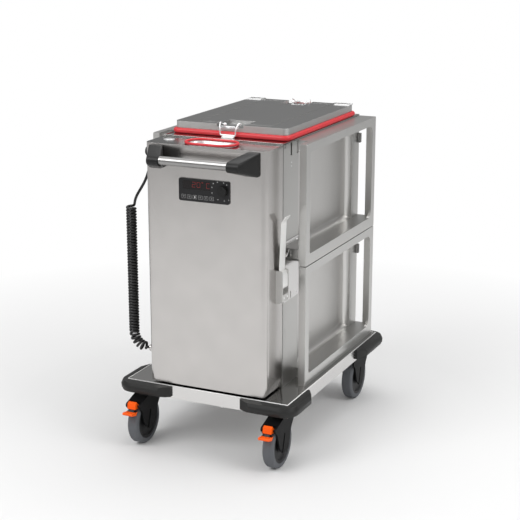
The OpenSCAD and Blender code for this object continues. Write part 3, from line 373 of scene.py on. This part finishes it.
faceFinish = {  # other finishes of a node's faces, chosen by the face's middle and direction
    "lid": [
        # recess walls in the lid top: pale steel as a painted highlight
        ("paleAndHighlight", lambda c, n: n.x < -0.5 and c.z > 1074 and abs(c.x) < 49),
        # the lid's sides: the lighter copy of the lid steel, a painted highlight
        ("skirt", lambda c, n: n.z < 0.6 and c.z > 1040),
    ],
    # latch mount tops: the lid's darker copy, painted shade
    "lid_latch_mounts": [("lid", lambda c, n: n.z > 0.5 and c.z < 1078)],
    # front of the deck top: pale steel as a painted highlight
    "top_deck": [("paleAndHighlight", lambda c, n: c.z > 1048.5 and c.y < 150)],
    # the pan's upward faces take the darker copy as painted shade
    "base_pan": [("panTopPaintedShade", lambda c, n: n.z > 0.9)],
    # the door's top faces take the darker copy as painted shade
    "door_shell": [("doorTopPaintedShade", lambda c, n: n.z > 0.8 and c.z > 1000)],
    # the bay's side walls take the lighter copy as painted light
    "body_shell": [("bay", lambda c, n: abs(n.x) > 0.5 and abs(c.x) < 214 and c.y > 180)],
    "brake_pedal_fl": [("hub", lambda c, n: 134.1 < c.z < 142.1 and -64.4 < c.y < -42.4)],
    "brake_pedal_fr": [("hub", lambda c, n: 134.1 < c.z < 142.1 and -64.4 < c.y < -42.4)],
}


def coatFaces(mesh, rules):
    for finish, _ in rules:
        mesh.materials.append(finishes[finish])
    for face in mesh.polygons:
        place = Vector(face.center) * 1000
        place.y -= frontEdge * 1000
        for i, (_, fits) in enumerate(rules):
            if fits(place, face.normal):
                face.material_index = i + 1
                break


softening = {"merge": 0.00001, "flat": 1.5, "sharp": 32, "segments": 2, "lidTop": 1.085}


def softened(name, width):
    sharp = math.radians(softening["sharp"])
    shape = bmesh.new()
    shape.from_mesh(nodes[name].data)
    bmesh.ops.remove_doubles(shape, verts=shape.verts, dist=softening["merge"])
    for vertex in shape.verts:  # the front end of the lid has no lugs in sight
        if name == "lid" and vertex.co.z > softening["lidTop"] + 0.0002 and vertex.co.y < 0:
            vertex.co.z = softening["lidTop"]
    flat = math.radians(softening["flat"])
    bmesh.ops.dissolve_limit(shape, angle_limit=flat, verts=shape.verts, edges=shape.edges)
    bmesh.ops.recalc_face_normals(shape, faces=shape.faces)
    for edge in shape.edges:
        edge.smooth = edge.is_manifold and edge.calc_face_angle() < sharp
    for face in shape.faces:
        face.smooth = True
    mesh = bpy.data.meshes.new(name + "Soft")
    shape.to_mesh(mesh)
    shape.free()
    copy = bpy.data.objects.new(name + "Soft", mesh)
    bpy.context.collection.objects.link(copy)
    bevel = copy.modifiers.new("bevel", "BEVEL")
    bevel.width = width / 1000
    bevel.segments = softening["segments"]
    bevel.limit_method = "ANGLE"
    bevel.angle_limit = sharp
    bevel.use_clamp_overlap = True
    bevel.harden_normals = True
    ready = bpy.data.meshes.new_from_object(copy.evaluated_get(bpy.context.evaluated_depsgraph_get()))
    bpy.data.objects.remove(copy)
    finish = next(f for f, names in nodeFinish.items() if name in names)
    piece = addPiece(name + "Soft", ready, finish, nodeBody[name])
    coatFaces(ready, faceFinish.get(name, []))
    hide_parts(name)


for name, width in rounding.items():
    softened(name, width)
print("edges rounded on", len(rounding), "pieces")


# lid bails and the vent's seal as round wires and beads, and pale strips along the base pan's rim as a
# painted highlight

def wire(name, route, radius, finish, node, closed=False):
    data = bpy.data.curves.new(name, "CURVE")
    data.dimensions = "3D"
    data.bevel_depth = radius / 1000
    data.bevel_resolution = 4
    data.use_fill_caps = True
    line = data.splines.new("POLY")
    line.points.add(len(route) - 1)
    line.use_cyclic_u = closed
    for point, place in zip(line.points, route):
        point.co = (*at(*place), 1)
    holder = bpy.data.objects.new(name + "Line", data)
    bpy.context.collection.objects.link(holder)
    mesh = bpy.data.meshes.new_from_object(holder.evaluated_get(bpy.context.evaluated_depsgraph_get()))
    bpy.data.objects.remove(holder)
    mesh.name = name
    for face in mesh.polygons:
        face.use_smooth = True
    piece = addPiece(name, mesh, finish, nodeBody[node])
    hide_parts(node)


def eased(route, times=3):  # cuts the corners of a line
    for _ in range(times):
        cut = [route[0]]
        for a, b in zip(route, route[1:]):
            for share in (0.25, 0.75):
                cut.append(tuple((1 - share) * u + share * v for u, v in zip(a, b)))
        route = cut + [route[-1]]
    return route


bails = {
    "radius": 2.3, "middle": 487, "plate": (25, 178, 1073, 1083),
    "side": [
        (19, 208, 1083), (34, 208, 1083), (36, 200, 1091), (34, 189, 1090), (30, 179, 1080),
        (28, 176.2, 1068), (27.5, 176, 1053), (20, 176, 1053),
    ],
}


def drawBail(name, node, flip):
    side = [(x, flip * (y - bails["middle"]) + bails["middle"], z) for x, y, z in bails["side"]]
    route = eased(side + [(-x, y, z) for x, y, z in reversed(side)])
    # bail wire in pale steel: bright wire, lightened further as painted highlight
    wire(name, route, bails["radius"], "paleAndHighlight", node)


drawBail("frontBail", "lid_bail_front", 1)
drawBail("rearBail", "lid_bail_rear", -1)


def platePiece(name, low, high, finish, body, edge=1.0):
    shape = bmesh.new()
    bmesh.ops.create_cube(shape, size=1)
    for v in shape.verts:
        v.co = at(*(low[i] if v.co[i] < 0 else high[i] for i in range(3)))
    bmesh.ops.bevel(shape, geom=shape.edges, offset=edge / 1000, segments=2, affect="EDGES")
    for face in shape.faces:
        face.smooth = True
    mesh = bpy.data.meshes.new(name)
    shape.to_mesh(mesh)
    shape.free()
    return addPiece(name, mesh, finish, body)


half, near, low, high = bails["plate"]
# bail plates in pale steel: their white band is a painted highlight
platePiece("frontBailPlate", (-half, near, low), (half, near + 3, high), "paleAndHighlight", "front_bail")
far = 2 * bails["middle"] - near
platePiece("rearBailPlate", (-half, far - 3, low), (half, far, high), "paleAndHighlight", "rear_bail")

# pale strips laid along the base pan's rim: a painted highlight
panRimHighlight = {"front": -0.3, "side": 296.3, "end": 820.3, "wide": 3.0, "low": 224.3, "high": 227.3}


def drawPanRimHighlight(spec):
    side, end, wide = spec["side"], spec["end"], spec["wide"]
    strips = {
        "panRimHighlightFront": ((-side, spec["front"]), (side, wide)),
        "panRimHighlightRear": ((-side, end - wide), (side, end)),
        "panRimHighlightLeft": ((-side, wide), (wide - side, end - wide)),
        "panRimHighlightRight": ((side - wide, wide), (side, end - wide)),
    }
    for name, (near, far) in strips.items():
        platePiece(name, (*near, spec["low"]), (*far, spec["high"]), "edge", "cart", 0.6)


drawPanRimHighlight(panRimHighlight)

vent = {"half": 88, "round": 48, "y": 62.6, "z": 1047.2, "bead": 4.2}


def ovalRoute(spec, steps=24):
    route = []
    for side in (1, -1):
        for i in range(steps + 1):
            angle = math.pi * (i / steps - 0.5)
            x = side * (spec["half"] - spec["round"] + spec["round"] * math.cos(angle))
            route.append((x, spec["y"] + side * spec["round"] * math.sin(angle), spec["z"]))
    return route


wire("ventSeal", ovalRoute(vent), vent["bead"], "red", "vent_seal", True)
print("bails and vent seal drawn")


# stacking lugs at the rear corners of the lid: ramps that face the front, coloured pale as a painted
# highlight

def ramp(name, x0, x1, y0, y1, low, high, finish, body, slot):
    shape = bmesh.new()
    rims = []
    for x in (x0, x1):
        corners = ((y0, low), (y1, low), (y1, high), (y0, low + 0.4))
        rims.append([shape.verts.new(at(x, y, z)) for y, z in corners])
    shape.faces.new(rims[0])
    shape.faces.new(rims[1])
    for i in range(4):
        j = (i + 1) % 4
        shape.faces.new([rims[0][i], rims[0][j], rims[1][j], rims[1][i]])
    bmesh.ops.recalc_face_normals(shape, faces=shape.faces)
    mesh = bpy.data.meshes.new(name)
    shape.to_mesh(mesh)
    shape.free()
    return addPiece(name, mesh, finish, body)


lidLugs = {"inside": 146, "outside": 202, "near": 733, "far": 779, "low": 1084.9, "high": 1089.2}
for name, x0, x1 in (
    ("lidLugLeft", -lidLugs["outside"], -lidLugs["inside"]),
    ("lidLugRight", lidLugs["inside"], lidLugs["outside"]),
):
    near, far, low, high = (lidLugs[key] for key in ("near", "far", "low", "high"))
    ramp(name, x0, x1, near, far, low, high, "paleAndHighlight", "lid_top", "lid_steel")
print("lugs set")


# small fasteners, set out by one tree

def studTree():
    tree = bpy.data.node_groups.new("studs", "GeometryNodeTree")
    inputs = {
        "Geometry": "Geometry", "Radius": "Float", "Height": "Float", "Sides": "Int", "Finish": "Material",
    }
    for name, kind in inputs.items():
        tree.interface.new_socket(name, in_out="INPUT", socket_type="NodeSocket" + kind)
    tree.interface.new_socket("Geometry", in_out="OUTPUT", socket_type="NodeSocketGeometry")
    add, link = tree.nodes.new, tree.links.new
    given, done = add("NodeGroupInput"), add("NodeGroupOutput")
    head = add("GeometryNodeMeshCone")
    head.inputs["Side Segments"].default_value = 5
    link(given.outputs["Sides"], head.inputs["Vertices"])
    slim = add("ShaderNodeMath")
    slim.operation = "MULTIPLY"
    slim.inputs[1].default_value = 0.78  # the head's top against its foot
    link(given.outputs["Radius"], slim.inputs[0])
    link(slim.outputs[0], head.inputs["Radius Top"])
    link(given.outputs["Radius"], head.inputs["Radius Bottom"])
    link(given.outputs["Height"], head.inputs["Depth"])
    facing = add("GeometryNodeInputNamedAttribute")
    facing.data_type = "FLOAT_VECTOR"
    facing.inputs["Name"].default_value = "facing"
    turn = add("FunctionNodeAlignRotationToVector")
    turn.axis = "Z"
    link(facing.outputs[0], turn.inputs["Vector"])
    stand = add("GeometryNodeInstanceOnPoints")
    link(given.outputs["Geometry"], stand.inputs["Points"])
    link(head.outputs["Mesh"], stand.inputs["Instance"])
    link(turn.outputs[0], stand.inputs["Rotation"])
    real = add("GeometryNodeRealizeInstances")
    link(stand.outputs[0], real.inputs[0])
    coat = add("GeometryNodeSetMaterial")
    link(real.outputs[0], coat.inputs[0])
    link(given.outputs["Finish"], coat.inputs["Material"])
    link(coat.outputs[0], done.inputs[0])
    return tree


studs = studTree()


def setStuds(name, places, radius, height, sides, finish, body, slot):
    mesh = bpy.data.meshes.new(name)
    mesh.from_pydata([at(*p) for p, _ in places], [], [])
    facing = mesh.attributes.new("facing", "FLOAT_VECTOR", "POINT")
    for i, (_, way) in enumerate(places):
        facing.data[i].vector = way
    holder = bpy.data.objects.new(name + "Points", mesh)
    bpy.context.collection.objects.link(holder)
    modifier = holder.modifiers.new("studs", "NODES")
    modifier.node_group = studs
    values = {"Radius": radius / 1000, "Height": height / 1000, "Sides": sides, "Finish": finishes[finish]}
    for item in studs.interface.items_tree:
        if item.in_out == "INPUT" and item.name in values:
            modifier[item.identifier] = values[item.name]
    made = bpy.data.meshes.new_from_object(holder.evaluated_get(bpy.context.evaluated_depsgraph_get()))
    bpy.data.objects.remove(holder)
    made.name = name
    addPiece(name, made, finish, body)


right, left = (1, 0, 0), (-1, 0, 0)
fastened = {
    "hingeScrews": {
        "radius": 3.2, "height": 1.6, "sides": 16, "finish": "zinc", "body": "door", "slot": "pan_steel",
        "places": [((-219, y, z + dz), left) for z in (300, 608, 882) for y in (92, 108) for dz in (12, 48)],
    },
    "latchRivets": {
        "radius": 3.0, "height": 1.4, "sides": 16, "finish": "zinc", "body": "door", "slot": "pan_steel",
        "places": [((240, y, 553), right) for y in (93, 118)],
    },
    "keeperScrews": {
        "radius": 3.0, "height": 1.4, "sides": 16, "finish": "zinc", "body": "cart", "slot": "pan_steel",
        "places": [((218, y, z), right) for y in (150, 246) for z in (534, 712)],
    },
    "postRivets": {
        "radius": 2.2, "height": 1.2, "sides": 12, "finish": "zinc", "body": "cart", "slot": "body_steel",
        "places": [((216, 200, z), right) for z in (965, 977)],
    },
}
for name, spec in fastened.items():
    setStuds(name, **spec)
print("fasteners set")


# control panel: digits, marks round the knob and signs on the keys

def flatShapes(name, shapes, face, thick, finish):
    shape = bmesh.new()
    for outline in shapes:
        rim = [shape.verts.new(at(x, face, z)) for x, z in outline]
        side = shape.faces.new(rim)
        grown = bmesh.ops.extrude_face_region(shape, geom=[side])
        for v in grown["geom"]:
            if isinstance(v, bmesh.types.BMVert):
                v.co.y -= thick / 1000
    bmesh.ops.recalc_face_normals(shape, faces=shape.faces)
    mesh = bpy.data.meshes.new(name)
    shape.to_mesh(mesh)
    shape.free()
    addPiece(name, mesh, finish, "door")


def bar(x, z, width, height):
    left, right = x - width / 2, x + width / 2
    low, high = z - height / 2, z + height / 2
    return [(left, low), (right, low), (right, high), (left, high)]


def digit(x, z, wide, tall, lit, stroke):
    middle, quarter, side, length = tall / 2, tall / 4, wide / 2, tall / 2 - 1
    bars = {
        "top": (0, middle, wide, stroke), "middle": (0, 0, wide, stroke),
        "bottom": (0, -middle, wide, stroke),
        "highLeft": (-side, quarter, stroke, length), "highRight": (side, quarter, stroke, length),
        "lowLeft": (-side, -quarter, stroke, length), "lowRight": (side, -quarter, stroke, length),
    }
    return [bar(x + bars[k][0], z + bars[k][1], bars[k][2], bars[k][3]) for k in lit]


panelSpec = {
    "face": 3.5, "window": 4.0, "digitTall": 16, "digitWide": 11, "digits": [(-36, 919), (-19, 919)],
    "degree": (-5, 926), "unit": (15, 918.5), "stroke": 1.0, "fineStroke": 0.9,
    "keys": 6, "brightKey": 2, "keyX": -72, "keyStep": 20, "keyZ": 879, "keyFace": 2.7,
    "keyWide": 14, "keyTall": 11.5, "keyLine": 0.7,
    "ticks": [(34, 928.6), (48.3, 934), (70, 933.5), (81, 928), (29, 916), (29, 898)],
    "smallMarks": [(50, 878), (72, 876), (88, 880)],
}
two = ["top", "highRight", "middle", "lowLeft", "bottom"]
zero = ["top", "highLeft", "highRight", "lowLeft", "lowRight", "bottom"]
small = ["top", "highLeft", "highRight", "middle"]
cee = ["top", "highLeft", "lowLeft", "bottom"]
wide, tall, stroke = panelSpec["digitWide"], panelSpec["digitTall"], panelSpec["stroke"]
lights = []
for place, lit in zip(panelSpec["digits"], (two, zero)):
    lights += digit(*place, wide, tall, lit, stroke)
lights += digit(*panelSpec["degree"], 4.5, 5, small, panelSpec["fineStroke"])
lights += digit(*panelSpec["unit"], wide, tall, cee, stroke)
flatShapes("ledDigits", lights, panelSpec["window"], 0.2, "led")
ticks = [bar(x, z, 2.6, 2.8) for x, z in panelSpec["ticks"]]
ticks += [bar(x, z, 3.2, 1.6) for x, z in panelSpec["smallMarks"]]
flatShapes("knobTicks", ticks, panelSpec["face"], 0.15, "mark")


def ring(x, z, width, height, line):
    return [
        bar(x, z + height / 2, width, line), bar(x, z - height / 2, width, line),
        bar(x - width / 2, z, line, height), bar(x + width / 2, z, line, height),
    ]


rims, signs, bright = [], [], []
for i in range(panelSpec["keys"]):
    x, z = panelSpec["keyX"] + i * panelSpec["keyStep"], panelSpec["keyZ"]
    rims += ring(x, z, panelSpec["keyWide"], panelSpec["keyTall"], panelSpec["keyLine"])
    if i == panelSpec["brightKey"]:
        bright.append(bar(x, z, 3.4, 7))
    else:
        signs += [bar(x, z + 1.5, 7 - i % 3, 1.0), bar(x, z - 1.5, 4 + i % 2, 1.0)]
flatShapes("keyRims", rims, panelSpec["keyFace"], 0.15, "faint")
flatShapes("keySigns", signs, panelSpec["keyFace"], 0.15, "faint")
flatShapes("keyBright", bright, panelSpec["keyFace"], 0.2, "mark")
print("panel drawn")


# floor, light and backdrop

def areaLight(name, place, target, size, power):
    data = bpy.data.lights.new(name, "AREA")
    data.shape = "RECTANGLE"
    data.size, data.size_y = size
    data.energy = power
    lamp = bpy.data.objects.new(name, data)
    lamp.location = place
    lamp.rotation_euler = (Vector(target) - Vector(place)).to_track_quat("-Z", "Y").to_euler()
    bpy.context.collection.objects.link(lamp)


studio = {
    "keyLight": dict(place=(-1.6, -3.2, 3.4), target=(0, 0, 0.6), size=(2.4, 2.4), power=85),
    "sideLight": dict(place=(3.6, -0.6, 2.8), target=(0, 0, 0.6), size=(2.2, 2.6), power=55),
    "topLight": dict(place=(0.2, 0.8, 3.6), target=(0, 0, 0.6), size=(3.0, 2.0), power=40),
}
for name, spec in studio.items():
    areaLight(name, **spec)


floorSpec = {"half": 14, "shade": 0.80, "plain": 0.9, "fade": 0.75}


def drawFloor(spec):
    mesh = bpy.data.meshes.new("floor")
    half, shade = spec["half"], spec["shade"]
    corners = [(-half, -half, 0), (half, -half, 0), (half, half, 0), (-half, half, 0)]
    mesh.from_pydata(corners, [], [(0, 1, 2, 3)])
    floor = bpy.data.objects.new("floor", mesh)
    bpy.context.collection.objects.link(floor)
    ground = Finish("floorPaint", Base_Color=(shade, shade, shade), Roughness=0.9)
    distance = ground.node("ShaderNodeVectorMath", {"operation": "LENGTH"}, {0: ground.place()}, out=1)
    seen = ground.node("ShaderNodeLightPath")
    white = ground.node("ShaderNodeEmission", {}, {"Color": (1, 1, 1), "Strength": 1.0})
    fade = ((distance - spec["plain"]) * spec["fade"]).held() * seen
    paint = Value(ground.tree, ground.shader.outputs[0])
    both = ground.node("ShaderNodeMixShader", {}, {0: fade, 1: paint, 2: white})
    ground.tree.links.new(both.out, ground.tree.nodes["Material Output"].inputs["Surface"])
    mesh.materials.append(ground.material)


sky = {  # levels of grey from below to above, as mirrored by steel; the plain level is for all else
    "levels": [(0.0, 0.30), (0.25, 0.24), (0.42, 0.34), (0.62, 0.95), (1.0, 1.0)], "plain": 0.62,
}


def paintWorld(spec):
    world = bpy.data.worlds.new("studio")
    bpy.context.scene.world = world
    world.use_nodes = True
    tree = world.node_tree
    add, link = tree.nodes.new, tree.links.new
    ground = tree.nodes["Background"]
    way = add("ShaderNodeTexCoord")
    split = add("ShaderNodeSeparateXYZ")
    link(way.outputs["Generated"], split.inputs[0])
    ramp = add("ShaderNodeValToRGB")
    while len(ramp.color_ramp.elements) < len(spec["levels"]):
        ramp.color_ramp.elements.new(0.5)
    for stop, (place, level) in zip(ramp.color_ramp.elements, spec["levels"]):
        stop.position, stop.color = place, (level, level, level, 1)
    link(split.outputs[2], ramp.inputs[0])
    rays = add("ShaderNodeLightPath")
    mirror = add("ShaderNodeMix")
    mirror.data_type = "RGBA"
    mirror.inputs[6].default_value = (*[spec["plain"]] * 3, 1)
    link(rays.outputs["Is Glossy Ray"], mirror.inputs[0])
    link(ramp.outputs[0], mirror.inputs[7])
    seen = add("ShaderNodeMix")
    seen.data_type = "RGBA"
    seen.inputs[7].default_value = (1, 1, 1, 1)
    link(rays.outputs["Is Camera Ray"], seen.inputs[0])
    link(mirror.outputs[2], seen.inputs[6])
    link(seen.outputs[2], ground.inputs["Color"])
    ground.inputs["Strength"].default_value = 1.0


drawFloor(floorSpec)
paintWorld(sky)
bpy.context.scene.view_settings.view_transform = "Standard"
print("studio lit")
